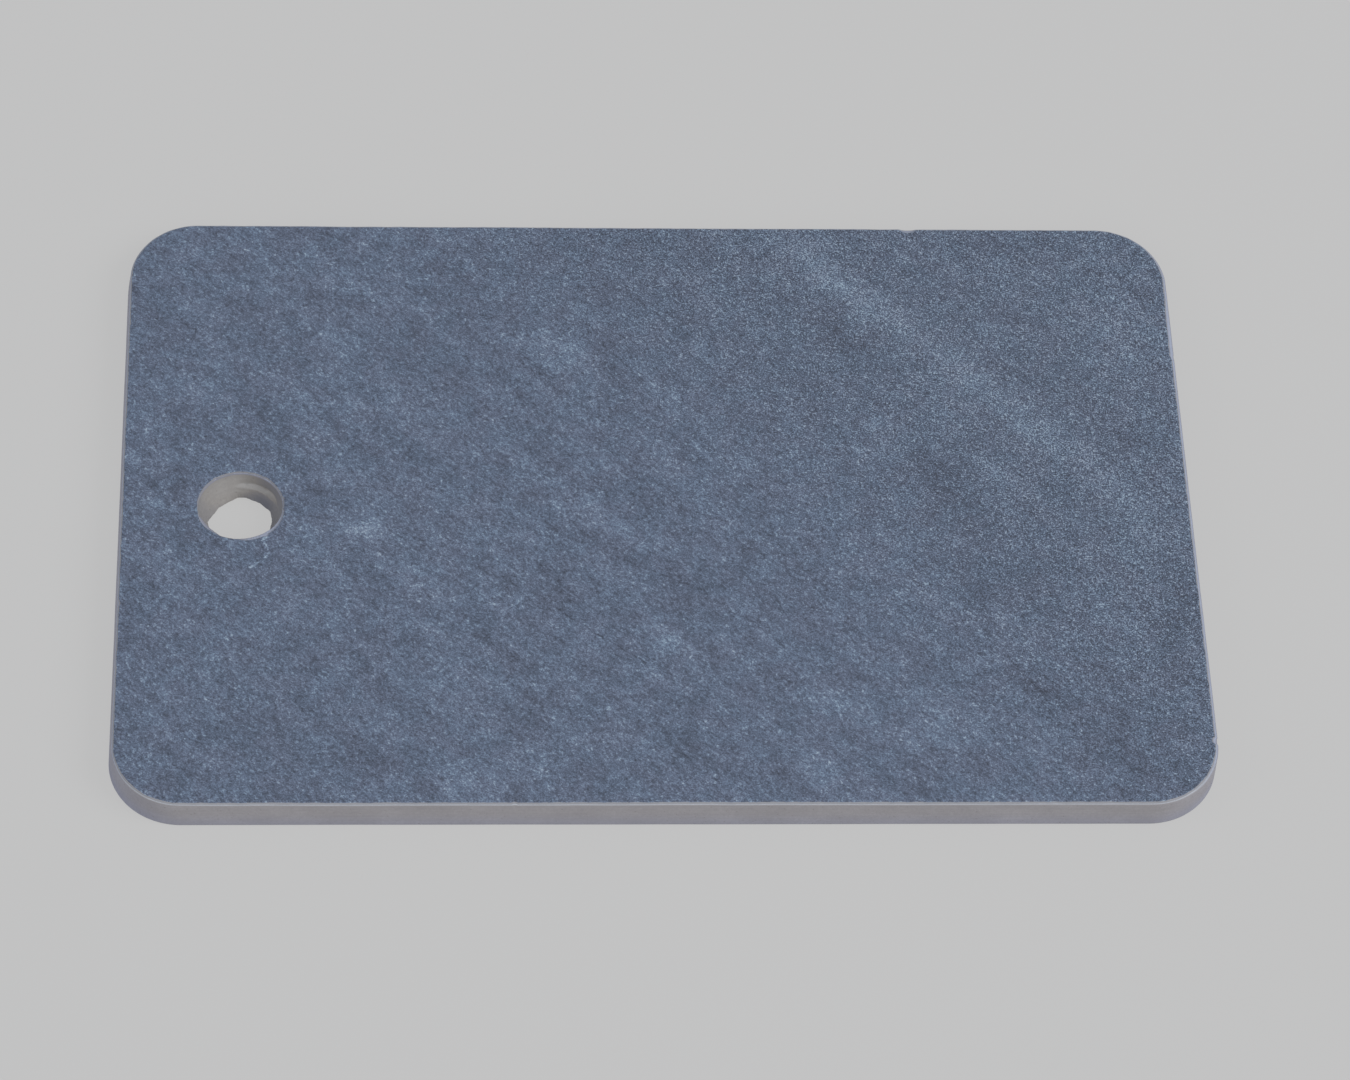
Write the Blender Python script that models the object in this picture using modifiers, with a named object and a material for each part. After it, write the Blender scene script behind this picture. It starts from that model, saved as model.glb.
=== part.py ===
"""Slate-faced slab for leatherwork: one flat plate of glazed stoneware with a hanging hole.

The plate is three fused layers.  The fired stoneware body carries a thin pale engobe
coat, and the engobe carries the slate-patterned glaze, which is the working face.

Metres, +Z up.  The origin is the centre of the underside, +X runs along the length and
the hanging hole is near the -X end.
"""

import math

import bmesh
import bpy

# The whole slab
LENGTH = 0.300
WIDTH = 0.200
THICKNESS = 0.010
CORNER_RADIUS = 0.020

# The layers on the body, and the clearance that each bond line keeps
GLAZE_THICKNESS = 0.0004
ENGOBE_THICKNESS = 0.0003
BOND_GAP = 0.00025

# The ground outline: the body's eased edges, and how far each coat steps in from the body
BODY_EASE = 0.0004
ENGOBE_STEP = 0.0006
GLAZE_STEP = 0.0010

# The hanging hole: where it is, and the wall that the core drill cut from the face down
HOLE_FROM_END = 0.034
HOLE_FROM_MIDDLE = -0.001
BORE_DIAMETER = 0.0234

# How far each coat's round opening stands back from the bore's wall
ENGOBE_RIM_STEP = 0.00015
GLAZE_RIM_STEP = 0.0003

# Under the bore the core snapped off: a ragged ledge, a throat, and a flare at the underside
LEDGE_HEIGHT = 0.0050
THROAT_DIAMETER = 0.0180
THROAT_HEIGHT = 0.0012
FLARE_DIAMETER = 0.0204

# How finely arcs are divided, and how far cutters run past the faces that they cut
CORNER_STEPS = 18
HOLE_STEPS = 96
CUTTER_REACH = 0.002
WELD_DISTANCE = 0.000001

BODY_COLOUR = (0.246, 0.240, 0.252)
ENGOBE_COLOUR = (0.376, 0.402, 0.456)
GLAZE_COLOUR = (0.119, 0.147, 0.209)

HOLE_X = -LENGTH / 2 + HOLE_FROM_END
HOLE_Y = HOLE_FROM_MIDDLE
GLAZE_BOTTOM = THICKNESS - GLAZE_THICKNESS
ENGOBE_TOP = GLAZE_BOTTOM - BOND_GAP
ENGOBE_BOTTOM = ENGOBE_TOP - ENGOBE_THICKNESS
BODY_TOP = ENGOBE_BOTTOM - BOND_GAP


def clear_scene():
    """Remove every object that the file opened with."""
    for old in list(bpy.data.objects):
        bpy.data.objects.remove(old, do_unlink=True)


def new_collection(name):
    """A new collection, linked to the scene."""
    made = bpy.data.collections.new(name)
    bpy.context.scene.collection.children.link(made)
    return made


def new_material(name, colour, roughness):
    """A Principled material of one colour; no layer of the slab is metal."""
    made = bpy.data.materials.new(name)
    made.use_nodes = True
    shader = made.node_tree.nodes["Principled BSDF"]
    shader.inputs["Base Color"].default_value = (*colour, 1.0)
    shader.inputs["Roughness"].default_value = roughness
    shader.inputs["Metallic"].default_value = 0.0
    return made


def rounded_outline(step):
    """The slab's outline moved inwards by step: four arcs, joined by straight sides."""
    radius = CORNER_RADIUS - step
    across = LENGTH / 2 - CORNER_RADIUS
    along = WIDTH / 2 - CORNER_RADIUS
    corners = ((across, along), (-across, along), (-across, -along), (across, -along))
    points = []
    for quarter, (x, y) in enumerate(corners):
        for k in range(CORNER_STEPS + 1):
            angle = math.pi / 2 * (quarter + k / CORNER_STEPS)
            points.append((x + radius * math.cos(angle), y + radius * math.sin(angle)))
    return points


def plate(name, step, bottom, top, ease, material, collection):
    """A flat plate between two heights, with its outline moved in by step and its edges eased."""
    outline = rounded_outline(step)
    curve = bpy.data.curves.new(name, "CURVE")
    curve.dimensions = "2D"
    curve.fill_mode = "BOTH"
    curve.extrude = (top - bottom) / 2 - ease
    curve.bevel_depth = ease
    curve.bevel_resolution = 0
    curve.offset = -ease
    spline = curve.splines.new("POLY")
    spline.points.add(len(outline) - 1)
    for point, (x, y) in zip(spline.points, outline):
        point.co = (x, y, 0.0, 1.0)
    spline.use_cyclic_u = True
    drawn = bpy.data.objects.new(name, curve)
    drawn.location.z = (top + bottom) / 2
    collection.objects.link(drawn)
    return as_mesh(drawn, material, collection)


def as_mesh(drawn, material, collection):
    """Turn a drawn curve into a mesh object of the same name, with its caps welded on."""
    bpy.context.view_layer.update()
    evaluated = drawn.evaluated_get(bpy.context.evaluated_depsgraph_get())
    mesh = bpy.data.meshes.new_from_object(evaluated)
    welded = bmesh.new()
    welded.from_mesh(mesh)
    bmesh.ops.remove_doubles(welded, verts=welded.verts, dist=WELD_DISTANCE)
    welded.to_mesh(mesh)
    welded.free()
    name = drawn.name
    placed = drawn.matrix_world.copy()
    curve = drawn.data
    bpy.data.objects.remove(drawn, do_unlink=True)
    bpy.data.curves.remove(curve)
    mesh.name = name
    mesh.materials.clear()
    mesh.materials.append(material)
    made = bpy.data.objects.new(name, mesh)
    made.matrix_world = placed
    collection.objects.link(made)
    return made


def hide_as_cutter(cutter):
    """Keep a cutter out of renders, and draw it as wire."""
    cutter.hide_render = True
    cutter.display_type = "WIRE"
    return cutter


def turned_cutter(name, profile, collection):
    """A solid of revolution about the hole's axis; its profile runs from top to bottom."""
    mesh = bpy.data.meshes.new(name)
    points = [(radius, 0.0, height) for radius, height in profile]
    edges = [(k, k + 1) for k in range(len(points) - 1)]
    mesh.from_pydata(points, edges, [])
    cutter = bpy.data.objects.new(name, mesh)
    cutter.location = (HOLE_X, HOLE_Y, 0.0)
    collection.objects.link(cutter)
    screw = cutter.modifiers.new("turn", "SCREW")
    screw.axis = "Z"
    screw.steps = HOLE_STEPS
    screw.render_steps = HOLE_STEPS
    screw.use_merge_vertices = True
    screw.merge_threshold = WELD_DISTANCE
    return hide_as_cutter(cutter)


def cut(piece, cutter):
    """Subtract a cutter from a piece."""
    drill = piece.modifiers.new("hanging_hole", "BOOLEAN")
    drill.operation = "DIFFERENCE"
    drill.solver = "EXACT"
    drill.object = cutter


def shade(piece):
    """Smooth round the corners and the bore, and keep the eased edges crisp."""
    piece.data.shade_smooth()
    piece.data.set_sharp_from_angle(angle=math.radians(30))


def bore_cutter(collection):
    """What the core drill and the snapped core left open in the body."""
    above = THICKNESS + CUTTER_REACH
    bore = BORE_DIAMETER / 2
    flare = FLARE_DIAMETER / 2
    profile = (
        (0.0, above),
        (bore, above),
        (bore, LEDGE_HEIGHT),
        (THROAT_DIAMETER / 2, THROAT_HEIGHT),
        (flare, 0.0),
        (flare, -CUTTER_REACH),
        (0.0, -CUTTER_REACH),
    )
    return turned_cutter("bore_cutter", profile, collection)


def coat_cutter(name, step, collection):
    """The round opening in one coat, which stands back from the bore by the coat's own step."""
    radius = BORE_DIAMETER / 2 + step
    above = THICKNESS + CUTTER_REACH
    below = BODY_TOP - CUTTER_REACH
    profile = ((0.0, above), (radius, above), (radius, below), (0.0, below))
    return turned_cutter(name, profile, collection)


def stoneware_body(parts, cutters):
    """The fired body: the thick plate, its ground wall, and the stepped hanging hole."""
    material = new_material("stoneware", BODY_COLOUR, 0.75)
    body = plate("stoneware_body", 0.0, 0.0, BODY_TOP, BODY_EASE, material, parts)
    cut(body, bore_cutter(cutters))
    shade(body)


def engobe_coat(parts, cutters):
    """The pale base coat between body and glaze, seen as a thin line along every edge."""
    material = new_material("engobe", ENGOBE_COLOUR, 0.60)
    coat = plate("engobe_coat", ENGOBE_STEP, ENGOBE_BOTTOM, ENGOBE_TOP, 0.0, material, parts)
    cut(coat, coat_cutter("engobe_cutter", ENGOBE_RIM_STEP, cutters))
    shade(coat)


def slate_glaze(parts, cutters):
    """The slate-patterned glaze, whose top is the working face."""
    material = new_material("glaze", GLAZE_COLOUR, 0.50)
    coat = plate("slate_glaze", GLAZE_STEP, GLAZE_BOTTOM, THICKNESS, 0.0, material, parts)
    cut(coat, coat_cutter("glaze_cutter", GLAZE_RIM_STEP, cutters))
    shade(coat)


def main():
    clear_scene()
    parts = new_collection("leatherwork_slab")
    cutters = new_collection("cutters")
    stoneware_body(parts, cutters)
    engobe_coat(parts, cutters)
    slate_glaze(parts, cutters)


main()
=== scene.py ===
"""The looks of a slate-faced leatherwork slab: ground stoneware body, engobe line and slate glaze.

Metres, +Z up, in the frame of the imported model.  Each layer is one closed skin: a
cross-section that runs from the hanging hole to the outline and back, carried once round
the slab.  Patterns read Object coordinates, so they lie still on the slab.
"""

import math

import bpy
import numpy as np
from mathutils import Matrix, Vector


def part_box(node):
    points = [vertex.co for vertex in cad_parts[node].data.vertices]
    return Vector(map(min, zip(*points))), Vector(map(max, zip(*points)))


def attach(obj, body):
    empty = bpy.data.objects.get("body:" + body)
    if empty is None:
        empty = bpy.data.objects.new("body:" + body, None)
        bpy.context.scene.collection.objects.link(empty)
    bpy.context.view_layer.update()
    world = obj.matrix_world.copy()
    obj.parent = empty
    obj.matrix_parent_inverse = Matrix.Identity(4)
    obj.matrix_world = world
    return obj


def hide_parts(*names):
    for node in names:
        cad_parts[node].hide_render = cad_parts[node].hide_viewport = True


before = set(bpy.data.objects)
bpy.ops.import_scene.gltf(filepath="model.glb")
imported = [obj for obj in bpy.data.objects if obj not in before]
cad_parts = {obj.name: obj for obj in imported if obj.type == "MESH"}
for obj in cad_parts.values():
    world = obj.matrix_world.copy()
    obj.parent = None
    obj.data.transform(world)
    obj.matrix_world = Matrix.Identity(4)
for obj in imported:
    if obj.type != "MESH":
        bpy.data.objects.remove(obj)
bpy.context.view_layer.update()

MM = 0.001

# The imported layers, which give every height and the overall size
BODY_LOW, BODY_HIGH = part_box("stoneware_body")
ENGOBE_LOW, ENGOBE_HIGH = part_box("engobe_coat")
GLAZE_LOW, GLAZE_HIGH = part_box("slate_glaze")
LENGTH = BODY_HIGH[0] - BODY_LOW[0]
WIDTH = BODY_HIGH[1] - BODY_LOW[1]
FACE = GLAZE_HIGH[2]
GLAZE_SEAM = (GLAZE_LOW[2] + ENGOBE_HIGH[2]) / 2
ENGOBE_SEAM = (ENGOBE_LOW[2] + BODY_HIGH[2]) / 2

# The outline, and the hanging hole, which is a touch narrower across the slab than along it
CORNER_RADIUS = 20 * MM
HOLE_FROM_END = 34 * MM
HOLE_FROM_MIDDLE = -1 * MM
HOLE = np.array([BODY_LOW[0] + HOLE_FROM_END, HOLE_FROM_MIDDLE])
BORE_RADIUS = 11.7 * MM
HOLE_OVAL = 0.038

# The ground wall: how far its top leans in, more so on the side by the hole, and its rounded foot
LEAN = 0.30 * MM
LEAN_BY_HOLE = 0.75 * MM
LEAN_POWER = 1.4
FOOT_ROUND = 0.40 * MM
FOOT_STEPS = np.array([0.6, 0.3, 0.12, 0.0])
GRINDER_WAVES = 0.03 * MM

# The arris: how wide the engobe's slope is at the front, and away from it
ARRIS = 0.25 * MM
WIDE_ARRIS = 0.58 * MM

# The worn slope round the hole, and what it gains on the side away from the ledge
RIM_SLOPE = 0.10 * MM
RIM_SLOPE_GAIN = 0.24 * MM

# Under the drilled wall: the corners of the throat that the snapped core left, by bearing in
# degrees and distance in mm, and the ledge that it left on one side
THROAT_BEARINGS = (5, 28, 55, 82, 96, 117, 138, 176, 210, 250, 290, 330)
THROAT_DISTANCES = (8.6, 9.2, 9.0, 9.4, 9.5, 8.6, 8.5, 9.3, 9.2, 9.1, 9.2, 8.8)
THROAT_HEIGHT = 1.2 * MM
ROUND_THROAT = 8.95 * MM
CONE_TOP = 8.7 * MM
LEDGE_BEARING = 60
LEDGE_HEIGHT = 5.0 * MM
LEDGE_WIDTH = 1.45 * MM
# How far above and below the ledge its painted highlight reaches
LEDGE_GLEAM_HEIGHT = 0.42 * MM

# The burst at the foot of the bore, and the shallow spall round it in the underside
BURST = 1.3 * MM
BURST_WANDER = 0.5 * MM
SPALL_RADIUS = 13.5 * MM
SPALL_WANDER = 0.75 * MM
SPALL_DEPTH = 0.6 * MM
GRIT = 0.05 * MM

# Bearings, in degrees, of the painted highlight on the bore's ledge, of the bore's sides given painted light
# and painted shade, and of the glaze's most broken rim
LEDGE_GLEAM = 78
PAINTED_SHADE_SIDE = 10
OPEN_SIDE = 110
FAR_SIDE = 190
FUZZY_RIM = 35

# Chips along the outline: place, half width, how far they reach into the face
EDGE_CHIPS = (
    (75.9 * MM, 100 * MM, 2.1 * MM, 1.00 * MM),
    (150 * MM, -79.3 * MM, 1.2 * MM, 0.75 * MM),
    (150 * MM, 52.5 * MM, 0.9 * MM, 0.35 * MM),
    (-41 * MM, -100 * MM, 0.8 * MM, 0.25 * MM),
    (-150 * MM, -34 * MM, 0.9 * MM, 0.30 * MM),
)

# Where the glaze broke away flat along the rim: bearing in degrees, half width
RIM_BREAK = (-48, 8.5 * MM)
RIM_BREAK_RISE = 0.30 * MM

# Chips on the hole's rim: bearing in degrees, half width, reach
RIM_CHIPS = (
    (210, 3.4 * MM, 0.30 * MM),
    (*RIM_BREAK, 0.80 * MM),
    (-54, 1.1 * MM, 1.20 * MM),
    (128, 0.6 * MM, 0.20 * MM),
    (12, 0.7 * MM, 0.25 * MM),
)

# Where the drill left flats in the bore: bearing in degrees, half width, depth
BORE_FLATS = ((219, 4.6 * MM, 0.55 * MM), (277, 8.0 * MM, 0.30 * MM))

# The share of a chip's reach that the engobe's top loses, and that the layers below it lose
EDGE_LOSS_TOP, EDGE_LOSS_BELOW = 0.75, 0.35
RIM_LOSS_TOP, RIM_LOSS_BELOW = 0.85, 0.12

# Where the glaze stands back further along the side away from the hole: from, to, how far
BARE_STRIP = (53 * MM, 74 * MM, 0.38 * MM)

# The glaze's edge: its gap behind the engobe's slope, its teeth, and its teeth round the hole
GLAZE_GAP = 0.04 * MM
GLAZE_TEETH = 0.22 * MM
RIM_TEETH = 0.04 * MM
FUZZY_TEETH = 0.25 * MM

# How the face falls away near the glaze's edge: distance in from the edge and fall, in mm
RIM_PROFILE = ((0.0, 0.16), (0.05, 0.07), (0.13, 0.02), (0.3, 0.0), (0.6, 0.0), (1.2, 0.0), (2.4, 0.0))
EDGE_PROFILE = ((3.0, 0.0), (1.5, 0.0), (0.8, 0.0), (0.4, 0.0), (0.2, 0.02), (0.08, 0.06), (0.0, 0.15))
FACE_FROM_RIM = 5 * MM
FACE_FROM_EDGE = 6 * MM

# The face's slow unevenness, and how high the engobe's slope starts above the body
BROAD_RELIEF = 0.035 * MM
FINE_RELIEF = 0.018 * MM
ENGOBE_FOOT = 0.13 * MM
SLOPE_BULGE = 0.03 * MM

# How far one coat runs into the next, and how far its hidden middle sinks clear of it
COAT_OVERLAP = 0.01 * MM
ENGOBE_SINK = 0.06 * MM
BODY_SINK = 0.05 * MM

# Steps round the slab in each skin, and the side of the noise lattice
BODY_STEPS = 1400
COAT_STEPS = 2400
LATTICE = 256


# ---- noise and outline


def plane_noise(x, y, size, seed):
    """Smooth noise from -1 to 1: random heights on a square lattice, eased between its points."""
    lattice = np.random.default_rng(seed).uniform(-1.0, 1.0, (LATTICE, LATTICE))
    u, v = x / size, y / size
    i, j = np.floor(u).astype(int), np.floor(v).astype(int)
    u, v = u - i, v - j
    u, v = u * u * (3 - 2 * u), v * v * (3 - 2 * v)
    i0, j0, i1, j1 = i % LATTICE, j % LATTICE, (i + 1) % LATTICE, (j + 1) % LATTICE
    near = lattice[i0, j0] * (1 - u) + lattice[i1, j0] * u
    far = lattice[i0, j1] * (1 - u) + lattice[i1, j1] * u
    return near * (1 - v) + far * v


def layered_noise(x, y, size, seed, layers=3):
    """A sum of plane noises, each half the size and half the strength of the one before."""
    total = np.zeros_like(x)
    for k in range(layers):
        total = total + plane_noise(x, y, size / 2**k, seed + k) / 2**k
    return total


def ease(value, low, high):
    """0 below low, 1 above high, and a smooth rise between."""
    t = np.clip((value - low) / (high - low), 0.0, 1.0)
    return t * t * (3 - 2 * t)


def blend(first, second, share):
    """The first at share 0, the second at share 1, and a straight line between."""
    return first * (1 - share) + second * share


class Outline:
    """Even steps round the slab, and the spoke from the hanging hole to each step.

    The outline is a small rectangle's corners, each carried round a quarter turn, so a
    point is a core point plus the corner radius along an outward direction.
    """

    def __init__(self, steps):
        half_x = LENGTH / 2 - CORNER_RADIUS
        half_y = WIDTH / 2 - CORNER_RADIUS
        arc = math.pi / 2 * CORNER_RADIUS
        knots = np.concatenate(([0.0], np.cumsum((arc, 2 * half_x, arc, 2 * half_y) * 2)))
        turns = np.array([0, 1, 1, 2, 2, 3, 3, 4, 4]) * math.pi / 2
        core_x = np.array([1, 1, -1, -1, -1, -1, 1, 1, 1]) * half_x
        core_y = np.array([1, 1, 1, 1, -1, -1, -1, -1, 1]) * half_y
        self.total = knots[-1]
        self.along = np.arange(steps) / steps * self.total
        angle = np.interp(self.along, knots, turns)
        core = [np.interp(self.along, knots, core_x), np.interp(self.along, knots, core_y)]
        self.out = np.array([np.cos(angle), np.sin(angle)])
        self.edge = np.array(core) + CORNER_RADIUS * self.out
        spoke = self.edge - HOLE[:, None]
        self.spoke = spoke / np.hypot(*spoke)
        self.bearing = np.arctan2(self.spoke[1], self.spoke[0])
        self.oval = 1 - HOLE_OVAL * self.spoke[1] ** 2

    def inset(self, distance):
        """The outline moved inwards."""
        return self.edge - distance * self.out

    def rim(self, radius):
        """The ring of a given radius about the hanging hole, with the hole's own slight oval."""
        return HOLE[:, None] + radius * self.oval * self.spoke

    def chip(self, x, y, half_width):
        """A scallop of height 1 where the outline passes nearest to a place."""
        start = self.along[np.argmin(np.hypot(self.edge[0] - x, self.edge[1] - y))]
        away = (self.along - start + self.total / 2) % self.total - self.total / 2
        return np.sqrt(np.clip(1 - (away / half_width) ** 2, 0.0, 1.0))

    def rim_chip(self, bearing, half_width):
        """A scallop of height 1 on the hole's rim, at a bearing in degrees."""
        away = (self.bearing - math.radians(bearing) + math.pi) % (2 * math.pi) - math.pi
        return np.sqrt(np.clip(1 - (away * BORE_RADIUS / half_width) ** 2, 0.0, 1.0))

    def facing(self, bearing, low, high):
        """1 on the hole's side at a bearing in degrees, 0 away from it: the eased cosine between."""
        return ease(np.cos(self.bearing - math.radians(bearing)), low, high)


def deepest(scallop, places):
    """The greatest of several scallops at every step; each place ends with its scallop's depth."""
    return np.max([depth * scallop(*place) for *place, depth in places], axis=0)


def edge_loss(line):
    """How much the chips take from the outline's coats, at every step."""
    return deepest(line.chip, EDGE_CHIPS)


def rim_loss(line):
    """How much the chips take from the coats round the hole, at every step."""
    return deepest(line.rim_chip, RIM_CHIPS)


def bored(line):
    """The drilled bore's radius at every step: round, but for the flats that stand in from it."""
    return BORE_RADIUS - deepest(line.rim_chip, BORE_FLATS)


def rim_slope(line):
    """How wide the worn slope round the hole is: wider on the side away from the ledge."""
    return RIM_SLOPE + RIM_SLOPE_GAIN * ease(-line.spoke[1], 0.2, 0.9)


def wall_lean(line):
    """How far the wall's top stands in: more by the hole, as the squared cosine, and a wander."""
    by_hole = np.clip(-line.out[0], 0.0, 1.0) ** 2
    wander = 0.06 * MM * layered_noise(*line.edge, size=22 * MM, seed=11, layers=4)
    return LEAN + LEAN_BY_HOLE * by_hole + wander


def arris(line):
    """How wide the engobe's slope is: narrow at the front and by the hole, wider elsewhere."""
    return blend(ARRIS, WIDE_ARRIS, ease(np.maximum(line.out[0], line.out[1]), 0.2, 0.9))


def ragged(xy, size, seed):
    """Teeth from 0 to 1, as a glaze breaks when its edge is ground."""
    return np.clip(0.5 + 0.5 * layered_noise(*xy, size, seed), 0.0, 1.0)


def bare_strip(line):
    """How much further the glaze stands back along one stretch of the side away from the hole."""
    low, high, depth = BARE_STRIP
    begun = ease(line.edge[1], low - 1 * MM, low + 1 * MM)
    ended = ease(line.edge[1], high - 8 * MM, high)
    return depth * begun * (1 - ended) * (line.out[0] > 0.5)


# ---- meshes


def closed_skin(name, rings):
    """A closed skin from rings of points that run round the slab, joined to the first again.

    A ring is its points' places on the plane, its height or heights, and anything more,
    which is left for the caller.
    """
    grid = np.array([np.vstack([xy, np.broadcast_to(z, xy.shape[1])]) for xy, z, *more in rings])
    count, steps = grid.shape[0], grid.shape[2]
    points = grid.transpose(0, 2, 1).reshape(-1, 3)
    ring, step = np.meshgrid(np.arange(count), np.arange(steps), indexing="ij")
    next_ring, next_step = (ring + 1) % count, (step + 1) % steps
    corners = (
        ring * steps + step,
        next_ring * steps + step,
        next_ring * steps + next_step,
        ring * steps + next_step,
    )
    faces = np.stack([c.ravel() for c in corners], axis=1)
    mesh = bpy.data.meshes.new(name)
    mesh.vertices.add(len(points))
    mesh.vertices.foreach_set("co", points.astype(np.float32).ravel())
    mesh.loops.add(faces.size)
    mesh.loops.foreach_set("vertex_index", faces.astype(np.int32).ravel())
    mesh.polygons.add(len(faces))
    mesh.polygons.foreach_set("loop_start", np.arange(0, faces.size, 4, dtype=np.int32))
    mesh.update(calc_edges=True)
    mesh.validate()
    mesh.shade_smooth()
    mesh.set_sharp_from_angle(angle=math.radians(50))
    made = bpy.data.objects.new(name, mesh)
    bpy.context.scene.collection.objects.link(made)
    return made


def add_values(piece, name, values):
    """Store a number for each point of a piece: each ring has one for all its points, or a row."""
    steps = len(piece.data.vertices) // len(values)
    rows = [np.broadcast_to(value, steps) for value in values]
    layer = piece.data.attributes.new(name, "FLOAT", "POINT")
    layer.data.foreach_set("value", np.concatenate(rows).astype(np.float32))


def face_relief(x, y):
    """How far the face lies below its highest level: a broad and a fine noise, each kept above 0."""
    broad = layered_noise(x, y, size=46 * MM, seed=31, layers=2)
    fine = layered_noise(x, y, size=9 * MM, seed=37)
    return BROAD_RELIEF * (1.5 + broad) / 2 + FINE_RELIEF * (1.8 + fine) / 2


def glaze_skin():
    """The glaze: its face, its ragged edges, and the seam under it.

    Round the hole its edge has the radius bore + worn slope + chips + teeth.  Along the
    outline it stands in by the wall's lean + arris + gap + chips + bare strip + teeth.  The
    face's rings are straight blends from one edge to the other, each at the top less its
    fall and the relief.
    """
    line = Outline(COAT_STEPS)
    back = wall_lean(line) + arris(line) + GLAZE_GAP + edge_loss(line) + bare_strip(line)
    outer = back + GLAZE_TEETH * (0.35 + 0.9 * ragged(line.edge, size=1.5 * MM, seed=51))
    rim_teeth = ragged(line.rim(BORE_RADIUS), size=1.1 * MM, seed=57)
    tooth = RIM_TEETH + FUZZY_TEETH * line.facing(FUZZY_RIM, 0.1, 0.9)
    rim = BORE_RADIUS + rim_slope(line) + rim_loss(line) + tooth * rim_teeth

    def on_face(xy, from_edge, fall=0.0):
        """A ring on the face, with its distance from the glaze's edge and its fall below the top."""
        return xy, FACE - fall - face_relief(*xy), from_edge

    rings = [(line.rim(rim - 0.05 * MM), GLAZE_SEAM, 0.0)]
    for step, fall in RIM_PROFILE:
        rings.append(on_face(line.rim(rim + step * MM), step * MM, fall * MM))
    near = line.rim(rim + FACE_FROM_RIM)
    far = line.inset(outer + FACE_FROM_EDGE)
    for share in np.linspace(0.0, 1.0, 15):
        rings.append(on_face(blend(near, far, share), FACE_FROM_RIM))
    for step, fall in EDGE_PROFILE:
        rings.append(on_face(line.inset(outer + step * MM), step * MM, fall * MM))
    rings.append((line.inset(back), GLAZE_SEAM, 0.0))
    far = line.inset(back + 4 * MM)
    near = line.rim(rim + 4 * MM)
    for share in (0.0, 0.5, 1.0):
        rings.append((blend(far, near, share), GLAZE_SEAM, FACE_FROM_RIM))
    piece = closed_skin("slate_glaze_skin", rings)
    add_values(piece, "from_edge", [from_edge for xy, z, from_edge in rings])
    return piece


def engobe_skin():
    """The engobe: a thin coat whose sloped edges are the pale line round the face and the hole.

    A slope is three rings: its foot on the body, a middle that stands a little proud of
    halfway, and its top under the glaze.  Between the slopes, where the glaze hides it, the
    coat's top sinks a little.
    """
    line = Outline(COAT_STEPS)
    lean = wall_lean(line)
    loss = edge_loss(line)
    hole_loss = rim_loss(line)
    wander = 0.05 * MM * layered_noise(*line.edge, size=4 * MM, seed=71)
    top_inset = lean + arris(line) + loss * EDGE_LOSS_TOP + wander
    foot = ENGOBE_SEAM + ENGOBE_FOOT * (1 + 0.5 * layered_noise(*line.edge, size=3 * MM, seed=73))
    rim_wander = 0.04 * MM * layered_noise(*line.rim(BORE_RADIUS), size=3 * MM, seed=79)
    top_rim = BORE_RADIUS + rim_slope(line) + hole_loss * RIM_LOSS_TOP + rim_wander
    edge_in = lean + loss * EDGE_LOSS_BELOW
    rim_out = bored(line) + hole_loss * RIM_LOSS_BELOW
    rim_foot = foot + RIM_BREAK_RISE * line.rim_chip(*RIM_BREAK)
    top = GLAZE_SEAM + COAT_OVERLAP
    round_hole = [
        (line.rim(rim_out), ENGOBE_SEAM),
        (line.rim(rim_out), rim_foot),
        (line.rim((rim_out + top_rim) / 2), (rim_foot + top) / 2 + SLOPE_BULGE),
        (line.rim(top_rim), top),
        (line.rim(top_rim + 0.6 * MM), top),
    ]
    near = line.rim(top_rim + 2.5 * MM)
    far = line.inset(top_inset + 2.5 * MM)
    across = [(blend(near, far, share), top - ENGOBE_SINK) for share in np.linspace(0.0, 1.0, 4)]
    along_edge = [
        (line.inset(top_inset + 0.6 * MM), top),
        (line.inset(top_inset), top),
        (line.inset((edge_in + top_inset) / 2), (foot + top) / 2 + SLOPE_BULGE),
        (line.inset(edge_in), foot),
        (line.inset(edge_in), ENGOBE_SEAM),
    ]
    piece = closed_skin("engobe_skin", round_hole + across + along_edge)
    # How much painted cool sky light the engobe gets: full round the hole and away from the front, none along
    # the front
    painted_cool_light_off_front = ease(line.out[1], -0.9, -0.1)
    add_values(piece, "painted_cool_light_off_front", [1.0] * len(round_hole) + [painted_cool_light_off_front] * len(across + along_edge))
    return piece


def throat_radius(line):
    """The throat's radius at every step: straight chords between its corners.

    On a chord between two corners, the points A and B, the radius along a spoke is the
    cross product of A and B divided by the cross product of the spoke and B minus A.
    """
    angle = np.radians(THROAT_BEARINGS)
    corners = np.array(THROAT_DISTANCES) * MM * np.array([np.cos(angle), np.sin(angle)])
    after = np.searchsorted(THROAT_BEARINGS, np.degrees(line.bearing) % 360) % len(angle)
    ax, ay = corners[:, after - 1]
    bx, by = corners[:, after]
    across = line.spoke[0] * (by - ay) - line.spoke[1] * (bx - ax)
    return (ax * by - ay * bx) / across


def beside_ledge(line):
    """1 on the side of the bore that has the ledge, 0 elsewhere."""
    return line.facing(LEDGE_BEARING, 0.74, 0.97)


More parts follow.
